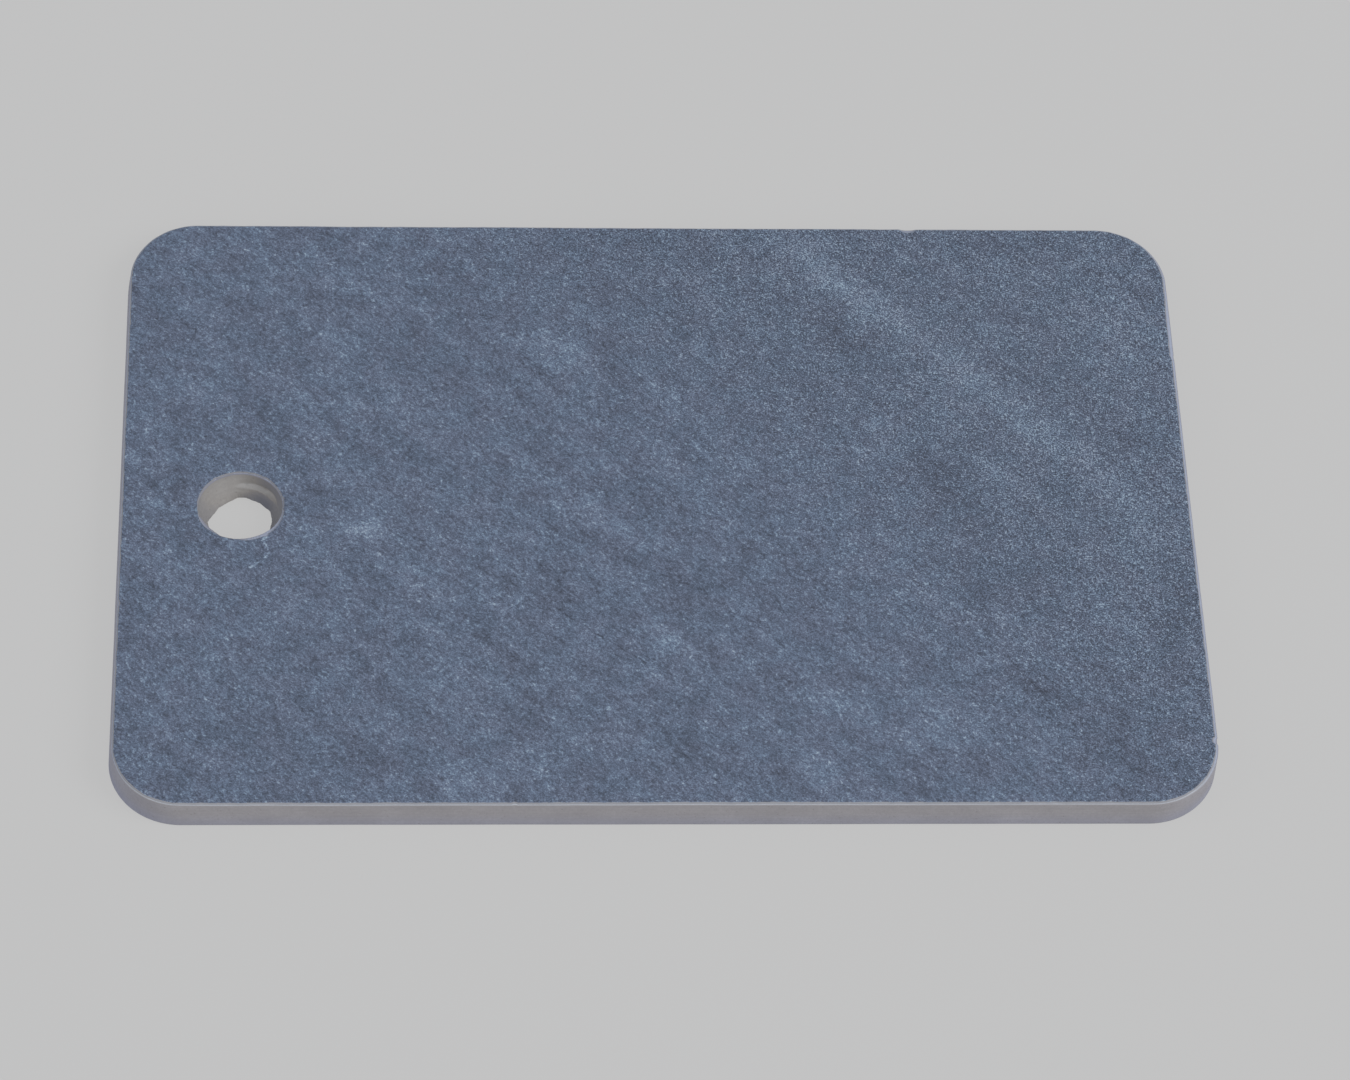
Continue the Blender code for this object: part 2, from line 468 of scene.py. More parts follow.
def bore_painted_light(line, height):
    """Painted light and shade on the broken body: a painted highlight on the ledge, painted light on the open
    side, and painted shade under the ledge and on two other sides.

    The ledge's gleam falls off as a bell curve of the height above or below it.
    """
    on_ledge = np.exp(-(((height - LEDGE_HEIGHT) / LEDGE_GLEAM_HEIGHT) ** 2))
    on_ledge = on_ledge * line.facing(LEDGE_GLEAM, 0.2, 0.95)
    under = ease(LEDGE_HEIGHT - height, 0.3 * MM, 3.2 * MM)
    open_side = line.facing(OPEN_SIDE, 0.5, 1.0) * ease(height, 1 * MM, 5 * MM)
    painted_shade = 0.5 * line.facing(PAINTED_SHADE_SIDE, 0.1, 0.95) * (1 - on_ledge)
    painted_shade = painted_shade + 0.24 * line.facing(FAR_SIDE, 0.3, 1.0)
    return beside_ledge(line) * (on_ledge - 0.3 * under) + 0.35 * open_side - painted_shade


def bore_radius(line, height):
    """The bore's radius at a height, at every step.

    Away from the ledge it runs in as a cone.  With t the share of the way down to the
    throat, it loses (bore - round throat) x t^1.4 and (round throat - cornered throat) x t^9,
    so that the corners show only low down.  On the ledge's side the wall is straight down
    to the ledge, steps in, and then loses the rest with t^1.3 and t^6.  Below the throat
    it flares out again in a burst to the underside.
    """
    x, y = line.rim(BORE_RADIUS)
    throat = throat_radius(line) + 0.06 * MM * layered_noise(x, y, size=1.4 * MM, seed=91)
    ledge_side = beside_ledge(line)
    rough = layered_noise(x, y + height * 2, size=3 * MM, seed=95)
    bore = bored(line)
    fallen = np.clip((CONE_TOP - height) / (CONE_TOP - THROAT_HEIGHT), 0, 1)
    cone = bore - (bore - ROUND_THROAT) * fallen**1.4 - (ROUND_THROAT - throat) * fallen**9
    shelf_height = LEDGE_HEIGHT + 0.2 * MM * rough
    onto_shelf = ease(shelf_height - height, -0.15 * MM, 0.35 * MM)
    below = np.clip((shelf_height - height) / (shelf_height - THROAT_HEIGHT), 0, 1)
    inner = BORE_RADIUS - LEDGE_WIDTH
    shelf = BORE_RADIUS - LEDGE_WIDTH * onto_shelf
    shelf = shelf - (inner - ROUND_THROAT) * below**1.3 - (ROUND_THROAT - throat) * below**6
    burst = BURST + BURST_WANDER * layered_noise(x, y, size=5 * MM, seed=99)
    radius = blend(cone, shelf, ledge_side) + burst * (1 - ease(height, 0.0, THROAT_HEIGHT)) ** 1.3
    broken = ease(-height, -LEDGE_HEIGHT, -THROAT_HEIGHT)
    grit = layered_noise(x + height, y - height, size=1.1 * MM, seed=101)
    return radius + (0.01 + 0.05 * broken) * MM * grit


def body_skin():
    """The fired body: ground wall, rounded foot, underside, spalled hole and the seam on top.

    With t the share of the way up, the wall stands in by its lean x t^1.4, plus chips near
    the top, slow waves, and a foot that curves in with the square of the way below its
    start.  With s the share of the way from the spall's rim to the bore, the spall is its
    depth x s^1.1 deep.
    """
    line = Outline(BODY_STEPS)
    lean = wall_lean(line)
    loss = edge_loss(line)
    hole_loss = rim_loss(line)
    top_height = ENGOBE_SEAM

    def wall_inset(height):
        """How far the wall stands in at a height, at every step."""
        chip = EDGE_LOSS_BELOW * loss * ease(height, top_height - 1.2 * MM, top_height)
        foot = FOOT_ROUND * (1 - min(height / FOOT_ROUND, 1.0)) ** 2
        noise = plane_noise(line.edge[0] + height, line.edge[1] - height, size=14 * MM, seed=81)
        return lean * (height / top_height) ** LEAN_POWER + chip + foot + GRINDER_WAVES * (1 + noise)

    wall = np.concatenate((np.linspace(top_height, FOOT_ROUND, 13), FOOT_ROUND * FOOT_STEPS))
    rings = [(line.inset(wall_inset(height)), height) for height in wall]
    first_beneath = len(rings)
    spall = SPALL_RADIUS + SPALL_WANDER * layered_noise(*line.rim(BORE_RADIUS), size=5 * MM, seed=83)
    far = line.inset(wall_inset(0.0) + 1.5 * MM)
    near = line.rim(spall + 0.8 * MM)
    for share in np.linspace(0.0, 1.0, 12):
        rings.append((blend(far, near, share), 0.0))
    first_in_spall = len(rings)
    burst = bore_radius(line, 0.0)
    for share in (0.0, 0.15, 0.35, 0.6, 0.85, 1.0):
        xy = line.rim(blend(spall, burst, share))
        grit = GRIT * layered_noise(*xy, size=0.9 * MM, seed=85, layers=2)
        rings.append((xy, np.maximum(SPALL_DEPTH * share**1.1 + grit * (share > 0.1), 0.0)))
    first_in_bore = len(rings)
    for height in np.linspace(0.75 * MM, top_height - 1.0 * MM, 30):
        rings.append((line.rim(bore_radius(line, height)), height))
    for height in np.linspace(top_height - 0.6 * MM, top_height, 3):
        chip = RIM_LOSS_BELOW * hole_loss * ease(height, top_height - 1.0 * MM, top_height)
        rings.append((line.rim(bore_radius(line, height) + chip), height))
    first_in_seam = len(rings)
    rings.append((line.rim(BORE_RADIUS + 2 * MM), top_height - BODY_SINK))
    rings.append((line.inset(lean + 2 * MM), top_height - BODY_SINK))
    piece = closed_skin("stoneware_skin", rings)

    ring = np.arange(len(rings))
    into_bore = np.interp(ring, (first_in_spall, first_in_bore), (0.1, 1.0))
    into_bore[(ring < first_in_spall) | (ring >= first_in_seam)] = 0.0
    beneath = np.where((ring >= first_beneath) & (ring < first_in_seam), 1.0 - into_bore, 0.0)
    # Painted cool sky light on the end walls, stronger at the end by the hole
    end_wall = np.where(line.out[0] > 0, 0.35, 0.9) * np.abs(line.out[0])
    # The bore's painted light and painted shade, fading in across the spall and none outside the bore
    painted_bore_light = [bore_painted_light(line, np.ravel(z)[0]) * share for (xy, z), share in zip(rings, into_bore)]
    add_values(piece, "underside", beneath)
    add_values(piece, "painted_cool_light_at_ends", [end_wall * (k < first_beneath) for k in ring])
    add_values(piece, "bore_painted_light", painted_bore_light)
    add_values(piece, "in_bore", into_bore)
    return piece


# ---- shader helpers


def linear(red, green, blue):
    """A colour given as screen values from 0 to 255, in the linear values that shaders use."""
    values = np.array([red, green, blue]) / 255
    return (*np.where(values <= 0.04045, values / 12.92, ((values + 0.055) / 1.055) ** 2.4), 1.0)


# A Mix node has sockets for every kind of value; these are the ones for colours
MIX_FIRST, MIX_SECOND, MIX_RESULT = 6, 7, 2


class Shader:
    """Adds nodes to one node tree.  An input may be given a number, a tuple or a socket."""

    def __init__(self, tree):
        self.tree = tree

    def node(self, kind, inputs=None, **settings):
        made = self.tree.nodes.new(kind)
        for name, value in settings.items():
            setattr(made, name, value)
        for name, value in (inputs or {}).items():
            self.feed(made.inputs[name], value)
        return made

    def feed(self, socket, value):
        if isinstance(value, bpy.types.NodeSocket):
            self.tree.links.new(value, socket)
        else:
            socket.default_value = value

    def math(self, operation, first, second=0.0, third=0.0, clamp=False):
        made = self.node("ShaderNodeMath", operation=operation, use_clamp=clamp)
        for socket, value in zip(made.inputs, (first, second, third)):
            self.feed(socket, value)
        return made.outputs[0]

    def times(self, first, second, clamp=False):
        return self.math("MULTIPLY", first, second, clamp=clamp)

    def plus(self, total, value, share, clamp=False):
        """A total with a share of a value added to it."""
        return self.math("MULTIPLY_ADD", value, share, total, clamp=clamp)

    def vector(self, operation, first, second=(0.0, 0.0, 0.0)):
        made = self.node("ShaderNodeVectorMath", operation=operation)
        self.feed(made.inputs[0], first)
        self.feed(made.inputs[1], second)
        return made.outputs["Value" if operation in ("LENGTH", "DOT_PRODUCT") else "Vector"]

    def scaled(self, vector, factor):
        made = self.node("ShaderNodeVectorMath", operation="SCALE")
        self.feed(made.inputs[0], vector)
        self.feed(made.inputs["Scale"], factor)
        return made.outputs["Vector"]

    def noise_node(self, place, per_mm, detail, roughness, distortion):
        inputs = {"Vector": place, "Scale": per_mm, "Detail": detail, "Roughness": roughness}
        return self.node("ShaderNodeTexNoise", {**inputs, "Distortion": distortion})

    def noise(self, place, per_mm, detail=2.0, roughness=0.6, distortion=0.0):
        """Noise from 0 to 1, mostly near 0.5."""
        return self.noise_node(place, per_mm, detail, roughness, distortion).outputs[0]

    def swing(self, place, per_mm, detail, distortion=0.0):
        """Noise on both sides of 0."""
        return self.math("SUBTRACT", self.noise(place, per_mm, detail, distortion=distortion), 0.5)

    def drift(self, place, per_mm, detail):
        """A shift that wanders on both sides of 0 along each axis."""
        colour = self.noise_node(place, per_mm, detail, 0.6, 0.0).outputs[1]
        return self.vector("SUBTRACT", colour, (0.5, 0.5, 0.5))

    def between(self, value, low, high, to_low=0.0, to_high=1.0):
        """Carry a value from one range to another, held at both ends and eased between."""
        made = self.node("ShaderNodeMapRange", interpolation_type="SMOOTHSTEP")
        for socket, number in zip(made.inputs, (value, low, high, to_low, to_high)):
            self.feed(socket, number)
        return made.outputs[0]

    def stored(self, name):
        """A number that the mesh stores for each of its points."""
        return self.node("ShaderNodeAttribute", attribute_name=name).outputs["Fac"]

    def height(self, place):
        """How high a place is."""
        return self.node("ShaderNodeSeparateXYZ", {"Vector": place}).outputs["Z"]

    def turned(self, place, angle):
        made = self.node("ShaderNodeVectorRotate", {"Vector": place}, rotation_type="Z_AXIS")
        self.feed(made.inputs["Angle"], angle)
        return made.outputs[0]

    def mix(self, share, first, second, blend_type="MIX"):
        made = self.node("ShaderNodeMix", data_type="RGBA", blend_type=blend_type)
        self.feed(made.inputs["Factor"], share)
        self.feed(made.inputs[MIX_FIRST], first)
        self.feed(made.inputs[MIX_SECOND], second)
        return made.outputs[MIX_RESULT]

    def tint(self, share, colour, factors):
        """A colour multiplied by a red, a green and a blue factor, by a share."""
        return self.mix(share, colour, (*factors, 1.0), "MULTIPLY")

    def ramp(self, value, stops):
        """Colours along a value; stops are (place, colour), in rising order."""
        made = self.node("ShaderNodeValToRGB", {"Fac": value})
        points = made.color_ramp.elements
        while len(points) < len(stops):
            points.new(1.0)
        for point, (place, colour) in zip(points, stops):
            point.position = place
            point.color = colour
        return made.outputs["Color"]


VECTOR = "NodeSocketVector"
NUMBER = "NodeSocketFloat"


def new_group(name, output, *inputs):
    """A shader group with a place and more inputs: its tree, shader, inputs and last socket."""
    tree = bpy.data.node_groups.new(name, "ShaderNodeTree")
    for label, socket_kind, value in (("Place", VECTOR, (0, 0, 0)), *inputs):
        socket = tree.interface.new_socket(label, in_out="INPUT", socket_type=socket_kind)
        socket.default_value = value
    tree.interface.new_socket(output, in_out="OUTPUT", socket_type=NUMBER)
    start = tree.nodes.new("NodeGroupInput").outputs
    end = tree.nodes.new("NodeGroupOutput").inputs[0]
    return tree, Shader(tree), start, end


def grain_group():
    """Fine fired grain: noise twisted by its own slope, put out as a tone from about -1 to 1."""
    inputs = (("Per mm", NUMBER, 1.0), ("Twist", NUMBER, 0.5))
    tree, shader, start, end = new_group("fired_grain", "Tone", *inputs)
    noise = shader.noise(start["Place"], start["Per mm"], distortion=start["Twist"])
    shader.feed(end, shader.plus(-2.0, noise, 4.0))
    return tree


def fibre_group():
    """Short wisps: where a warped noise crosses its middle, broken up by a coarser noise."""
    inputs = (("Per mm", NUMBER, 1.0), ("Thinness", NUMBER, 10.0), ("Twist", NUMBER, 1.2))
    tree, shader, start, end = new_group("wisps", "Mask", *inputs)
    noise = shader.noise(start["Place"], start["Per mm"], 1.0, 0.5, start["Twist"])
    away = shader.math("ABSOLUTE", shader.math("SUBTRACT", noise, 0.5))
    ridge = shader.math("SUBTRACT", 1.0, shader.times(away, start["Thinness"]), clamp=True)
    coarse = shader.times(start["Per mm"], 0.55)
    elsewhere = shader.vector("ADD", start["Place"], (31.0, 17.0, 5.0))
    broken = shader.between(shader.noise(elsewhere, coarse), 0.42, 0.62)
    shader.feed(end, shader.times(ridge, broken))
    return tree


def streak_group():
    """A soft oval: 1 at its centre, and a bell curve of the distance in half sizes round it."""
    inputs = (("Centre", VECTOR, (0, 0, 0)), ("Turn", NUMBER, 0.0), ("Half sizes", VECTOR, (1, 1, 1)))
    tree, shader, start, end = new_group("soft_streak", "Mask", *inputs)
    away = shader.vector("SUBTRACT", start["Place"], start["Centre"])
    turned = shader.turned(away, shader.times(start["Turn"], -1.0))
    local = shader.vector("DIVIDE", turned, start["Half sizes"])
    local = shader.vector("MULTIPLY", local, (1, 1, 0))
    square = shader.vector("DOT_PRODUCT", local, local)
    shader.feed(end, shader.math("EXPONENT", shader.times(square, -1.0)))
    return tree


def hairline_group():
    """A thin line between two places: 1 on it, 0 at a half width from it."""
    inputs = (("Start", VECTOR, (0, 0, 0)), ("Run", VECTOR, (1, 0, 0)), ("Half width", NUMBER, 0.2))
    tree, shader, start, end = new_group("hairline", "Mask", *inputs)
    flat = shader.vector("MULTIPLY", start["Place"], (1, 1, 0))
    away = shader.vector("SUBTRACT", flat, start["Start"])
    along = shader.vector("DOT_PRODUCT", away, start["Run"])
    length = shader.vector("DOT_PRODUCT", start["Run"], start["Run"])
    nearest = shader.scaled(start["Run"], shader.math("DIVIDE", along, length, clamp=True))
    distance = shader.vector("LENGTH", shader.vector("SUBTRACT", away, nearest))
    shader.feed(end, shader.between(distance, 0.0, start["Half width"], 1.0, 0.0))
    return tree


def speck_group():
    """Scattered small round specks: a mask that is 1 inside a speck."""
    inputs = (("Per mm", NUMBER, 0.3), ("Radius", NUMBER, 0.1))
    tree, shader, start, end = new_group("scattered_specks", "Mask", *inputs)
    cells = shader.node("ShaderNodeTexVoronoi", {"Vector": start["Place"], "Scale": start["Per mm"]})
    soft = shader.times(start["Radius"], 0.5)
    shader.feed(end, shader.between(cells.outputs["Distance"], soft, start["Radius"], 1.0, 0.0))
    return tree


GRAIN = grain_group()
FIBRES = fibre_group()
STREAK = streak_group()
HAIRLINE = hairline_group()
SPECKS = speck_group()


def start_material(name):
    """A new material, its shader helper, its Principled shader and the place on the slab in mm."""
    made = bpy.data.materials.new(name)
    made.use_nodes = True
    shader = Shader(made.node_tree)
    place = shader.node("ShaderNodeTexCoord").outputs["Object"]
    return made, shader, made.node_tree.nodes["Principled BSDF"], shader.scaled(place, 1 / MM)


def placed(shader, group, place, **values):
    """Place a group in a material with its own values; its output."""
    node = shader.node("ShaderNodeGroup", node_tree=group)
    shader.feed(node.inputs["Place"], place)
    for name, value in values.items():
        shader.feed(node.inputs[name.replace("_", " ").capitalize()], value)
    return node.outputs[0]


def round_the_hole(shader, place):
    """1 on the hanging hole's rim, 0 on the rest of the slab."""
    hole_mm = (HOLE[0] / MM, HOLE[1] / MM, 0.0)
    away = shader.vector("MULTIPLY", shader.vector("SUBTRACT", place, hole_mm), (1.0, 1.0, 0.0))
    return shader.between(shader.vector("LENGTH", away), 14.0, 15.0, 1.0, 0.0)


def raise_normal(shader, principled, height, depth):
    """Turn a height from 0 to 1 into relief of a given depth in metres."""
    bump = shader.node("ShaderNodeBump", {"Height": height, "Distance": depth, "Strength": 1.0})
    shader.feed(principled.inputs["Normal"], bump.outputs["Normal"])


# ---- the slate glaze

# Cloudy patches of the slate print, in mm: centre, turn in degrees, half sizes, tone
STREAKS = (
    (40, 94, -48, 12, 6, 0.09),
    (53, 81, -46, 14, 7.5, 0.15),
    (69, 65, -48, 12, 6, 0.12),
    (87, 45, -50, 13, 6, 0.15),
    (108, 26, -47, 16, 6, 0.11),
    (126, 9, -48, 10, 6, 0.09),
    (138, -10, -50, 12, 4, 0.08),
    (95, 11, -32, 8, 3, 0.09),
    (-26, 53, -35, 10, 5.5, 0.15),
    (6, 37, -38, 10, 2, 0.08),
    (-17, -5, -42, 10, 4, 0.13),
    (4, -13, -15, 12, 2.5, 0.06),
    (0, -46, -30, 7, 4.5, 0.13),
    (43, -65, -38, 9, 4.5, 0.15),
    (56, -73, -30, 7, 3, 0.15),
    (74, -76, -60, 8, 5, 0.11),
    (-12, -75, 80, 9, 4, 0.07),
    (-48, -91, 12, 15, 4.5, 0.13),
    (-82, -10, -12, 6, 2.6, 0.28),
    (-98, -9, 0, 4, 2.8, 0.15),
    (-85, 31, 80, 7, 3, 0.10),
    (-90, 76, -15, 15, 4.5, 0.07),
    (-131, 40, -45, 7, 4, 0.07),
    (-141, 15, -8, 14, 3, 0.10),
    (-45, 2, 30, 12, 8, 0.03),
    (136, 60, -30, 20, 14, 0.03),
    (82, 4, -70, 13, 8, -0.11),
    (87, -29, -70, 9, 6, -0.08),
    (103, -63, -42, 9, 4, -0.15),
    (127, -84, -30, 14, 9, -0.13),
    (142, -42, 80, 14, 6, -0.08),
    (134, 20, -15, 10, 4, -0.08),
    (105, 65, -20, 12, 4, -0.07),
    (52, 60, -42, 13, 5, -0.08),
    (24, 78, 85, 14, 4, -0.05),
    (-8, 86, 70, 12, 8, -0.05),
    (-1, -21, -24, 15, 3, -0.13),
    (12, -31, -60, 6, 3.5, -0.09),
    (-7, 6, -25, 8, 3, -0.07),
    (-31, 17, -66, 15, 3, -0.08),
    (-28, -25, -82, 15, 3, -0.06),
    (3, -78, -62, 11, 3.5, -0.14),
    (-40, -71, 80, 6, 4, -0.07),
    (-80, -86, 70, 9, 6, -0.08),
    (-119, -80, 15, 14, 6, -0.07),
    (-95, -50, 85, 15, 5, -0.06),
    (-140, 7, 0, 9, 4, -0.09),
    (-109, 30, -70, 9, 4, -0.06),
)

# Fine veins of the print, in mm: where each starts, its run, its half width and its tone
VEINS = (
    ((-29, -36), (24, -18), 0.5, -0.30),
    ((-46, 58), (13, -36), 0.5, -0.14),
    ((-15, -17), (27, -13), 0.6, -0.16),
    ((88, -42), (16, -24), 0.6, -0.20),
    ((-14, 56), (11, -13), 0.5, -0.22),
    ((-12, 51), (26, -21), 0.7, 0.10),
    ((-112, 52), (14, -16), 0.5, 0.06),
    ((58, 66), (30, -30), 0.7, -0.12),
    ((70, -38), (18, -34), 0.6, 0.08),
    ((40, -25), (22, -20), 0.6, 0.05),
)

# A pale crack in the glaze that starts at the chip on the hole's rim, in mm
CRACK = ((-108.3, -11.6), (-109.8, -13.2), (-108.0, -15.4), (-107.9, -17.0), (-109.0, -19.7), (-113.0, -22.2))

SLATE_TONES = (
    (0.00, linear(55, 62, 75)),
    (0.30, linear(77, 87, 104)),
    (0.50, linear(91, 103, 123)),
    (0.70, linear(106, 121, 143)),
    (0.88, linear(128, 147, 166)),
    (1.00, linear(156, 173, 187)),
)
MIDDLE_TONE = 0.512
GROUND_GLAZE = linear(132, 129, 130)
RUBBED_GLAZE = linear(158, 164, 176)


def printed_tone(shader, place, wander):
    """The slate print's tone: the middle tone, its cloudy patches and its broken veins."""
    swayed = shader.vector("ADD", place, shader.scaled(shader.drift(place, 0.09, 3.0), 9.0))
    tone = MIDDLE_TONE
    for x, y, turn, half_long, half_wide, strength in STREAKS:
        half_sizes = (half_long, half_wide, 1)
        turn = math.radians(turn)
        streak = placed(shader, STREAK, swayed, centre=(x, y, 0), turn=turn, half_sizes=half_sizes)
        tone = shader.plus(tone, streak, strength)
    wandering = shader.vector("ADD", place, shader.scaled(wander, 1.6))
    broken = shader.between(shader.noise(place, 0.35, roughness=0.5), 0.32, 0.5)
    for (x, y), run, half_width, strength in VEINS:
        start = (x, y, 0)
        vein = placed(shader, HAIRLINE, wandering, start=start, run=(*run, 0), half_width=half_width)
        tone = shader.plus(tone, shader.times(vein, broken), strength)
    return tone


def crack_mask(shader, place, wander):
    """The crack's short straight runs, whichever is nearest, with gaps where a noise is low."""
    jittered = shader.vector("ADD", place, shader.scaled(wander, 0.8))
    crack = 0.0
    for (x, y), (next_x, next_y) in zip(CRACK, CRACK[1:]):
        run = (next_x - x, next_y - y, 0)
        line = placed(shader, HAIRLINE, jittered, start=(x, y, 0), run=run, half_width=0.75)
        crack = shader.math("MAXIMUM", line, crack)
    return shader.times(crack, shader.between(shader.noise(place, 1.1), 0.34, 0.56))


def ground_edge(shader, place, colour):
    """The glaze's colour at its edge: a dull toothed fringe, then a paler rub that fades inwards."""
    from_edge = shader.times(shader.stored("from_edge"), 1 / MM)
    teeth = shader.plus(-0.06, shader.noise(place, 2.2), 0.30)
    fringe = shader.between(shader.math("SUBTRACT", from_edge, teeth), -0.02, 0.08, 1.0, 0.0)
    colour = shader.mix(fringe, colour, GROUND_GLAZE)
    rubbed = shader.between(shader.plus(from_edge, teeth, -0.7), 0.0, 0.10, 1.0, 0.0)
    rubbed = shader.times(rubbed, shader.plus(0.3, round_the_hole(shader, place), -0.1))
    return shader.mix(rubbed, colour, RUBBED_GLAZE)


def slate_glaze_material():
    """Satin slate-print glaze: cloudy diagonal streaks, mottling, bright grain with painted glints, and a
    fine relief.

    Each pattern adds its share to one tone, which picks the colour.  Across the slant of
    the print, from the near corner by the hole to the far one, the soft patterns weaken a
    little and the crisp frost and glints grow, partly in the print and partly as painted sheen.
    """
    made, shader, principled, place = start_material("slate_glaze")
    wander = shader.drift(place, 0.5, 2.0)
    slanted = shader.turned(place, math.radians(44))
    bedded = shader.vector("MULTIPLY", slanted, (0.36, 1.0, 1.0))
    drawn_out = shader.vector("MULTIPLY", slanted, (0.7, 1.0, 1.0))
    bedding = shader.swing(bedded, 0.13, 3.0, 0.6)
    mottle = shader.swing(drawn_out, 0.26, 3.0, 0.8)
    clots = placed(shader, GRAIN, drawn_out, per_mm=0.48, twist=0.6)
    grain = placed(shader, GRAIN, drawn_out, per_mm=1.3, twist=0.5)
    frost = placed(shader, GRAIN, place, per_mm=2.4, twist=0.3)
    wisps = placed(shader, FIBRES, place, per_mm=1.2, thinness=6.0, twist=1.0)
    specks = placed(shader, SPECKS, place, per_mm=0.09, radius=0.045)
    crack = crack_mask(shader, place, wander)
    # Towards the far corner the frost and glints grow and the soft patterns weaken, partly in the print and
    # partly as painted sheen
    slant = shader.vector("DOT_PRODUCT", place, (1.0, 0.9, 0.0))
    crisp = shader.between(slant, -20.0, 130.0, 0.31, 0.80)
    smooth = shader.between(slant, -70.0, 140.0, 1.0, 0.78)
    flecks_and_painted_glints = shader.times(shader.between(grain, 0.25, 1.0), crisp)

    tone = printed_tone(shader, place, wander)
    # Darker towards the far corner, to offset the painted glints there
    tone = shader.plus(tone, crisp, -0.13)
    tone = shader.plus(tone, shader.times(bedding, smooth), 0.40)
    tone = shader.plus(tone, shader.times(mottle, smooth), 0.46)
    tone = shader.plus(tone, shader.times(clots, smooth), 0.15)
    tone = shader.plus(tone, grain, 0.28)
    tone = shader.plus(tone, frost, crisp)
    tone = shader.plus(tone, wisps, 0.08)
    # Pale flecks of the grain, partly painted glints, stronger towards the far corner
    tone = shader.plus(tone, flecks_and_painted_glints, 0.28)
    tone = shader.plus(tone, specks, 0.3)
    tone = shader.plus(tone, crack, 0.42)
    colour = shader.ramp(tone, SLATE_TONES)
    warm = shader.between(shader.noise(place, 0.11, 3.0), 0.35, 0.65)
    colour = shader.tint(shader.times(warm, 0.5), colour, (1.08, 0.96, 0.95))
    colour = ground_edge(shader, place, colour)
    shader.feed(principled.inputs["Base Color"], colour)
    shader.feed(principled.inputs["Roughness"], shader.plus(0.40, shader.noise(place, 0.8, 3.0), 0.22))

    height = shader.plus(0.5, grain, 0.25)
    height = shader.plus(height, clots, 0.2)
    height = shader.plus(height, crack, -0.5)
    raise_normal(shader, principled, height, 0.05 * MM)
    return made


# ---- the engobe and the body

ENGOBE_TONES = ((0.0, linear(138, 138, 141)), (0.5, linear(165, 168, 175)), (1.0, linear(196, 200, 207)))
SOAKED_ENGOBE = linear(146, 143, 146)
# The heights, in mm, between which the engobe turns from soaked to clean
SOAKED_TO, CLEAN_FROM = 9.16, 9.36
BODY_TONES = ((0.0, linear(110, 106, 107)), (0.5, linear(146, 143, 146)), (1.0, linear(180, 177, 180)))
DARK_SPECK = linear(108, 102, 98)
# Painted light and painted shade laid on the broken body in the bore
PAINTED_LIGHT_ON_BREAK = linear(178, 178, 178)
PAINTED_SHADE_ON_BREAK = linear(93, 99, 117)
WASH_TONES = (linear(160, 157, 153), linear(173, 171, 167))
WASH_GRAIN = linear(120, 116, 112)


def engobe_material():
    """Matt pale engobe, ground along its slope, with fine grain and a few grey rubs."""
    made, shader, principled, place = start_material("engobe")
    grain = placed(shader, GRAIN, place, per_mm=2.0)
    rubs = shader.between(shader.noise(place, 0.16, 3.0, 0.65), 0.42, 0.68)
    tone = shader.plus(shader.plus(0.50, grain, 0.12), rubs, -0.18)
    clean = shader.plus(shader.height(place), rubs, 0.10)
    clean = shader.plus(clean, round_the_hole(shader, place), -0.12)
    soaked = shader.between(clean, SOAKED_TO, CLEAN_FROM, 1.0, 0.0)
    colour = shader.mix(soaked, shader.ramp(tone, ENGOBE_TONES), SOAKED_ENGOBE)
    # Painted cool sky light: the engobe bluer everywhere but along the front
    colour = shader.tint(shader.stored("painted_cool_light_off_front"), colour, (0.91, 0.96, 1.10))
    shader.feed(principled.inputs["Base Color"], colour)
    principled.inputs["Roughness"].default_value = 0.62
    raise_normal(shader, principled, shader.plus(0.5, grain, 0.3), 0.03 * MM)
    return made


def bore_colours(shader, colour, in_bore):
    """The broken body in the bore: a warmer grey, with painted light and painted shade laid on as the mesh's
    stored values say.
    """
    colour = shader.tint(shader.times(in_bore, 0.85), colour, (0.98, 0.965, 0.865))
    # The stored painted light: above 0 it lightens the break, below 0 it lays on painted shade
    tone = shader.stored("bore_painted_light")
    colour = shader.mix(shader.times(tone, 0.45, clamp=True), colour, PAINTED_LIGHT_ON_BREAK)
    return shader.mix(shader.times(tone, -0.9, clamp=True), colour, PAINTED_SHADE_ON_BREAK)


def belt_marks(shader, place):
    """The kiln belt's square grid: two sets of waves, at right angles, multiplied."""
    waves = []
    for direction in "XY":
        inputs = {"Vector": place, "Scale": 0.45, "Distortion": 0.4}
        waves.append(shader.node("ShaderNodeTexWave", inputs, bands_direction=direction).outputs["Fac"])
    return shader.times(*waves)


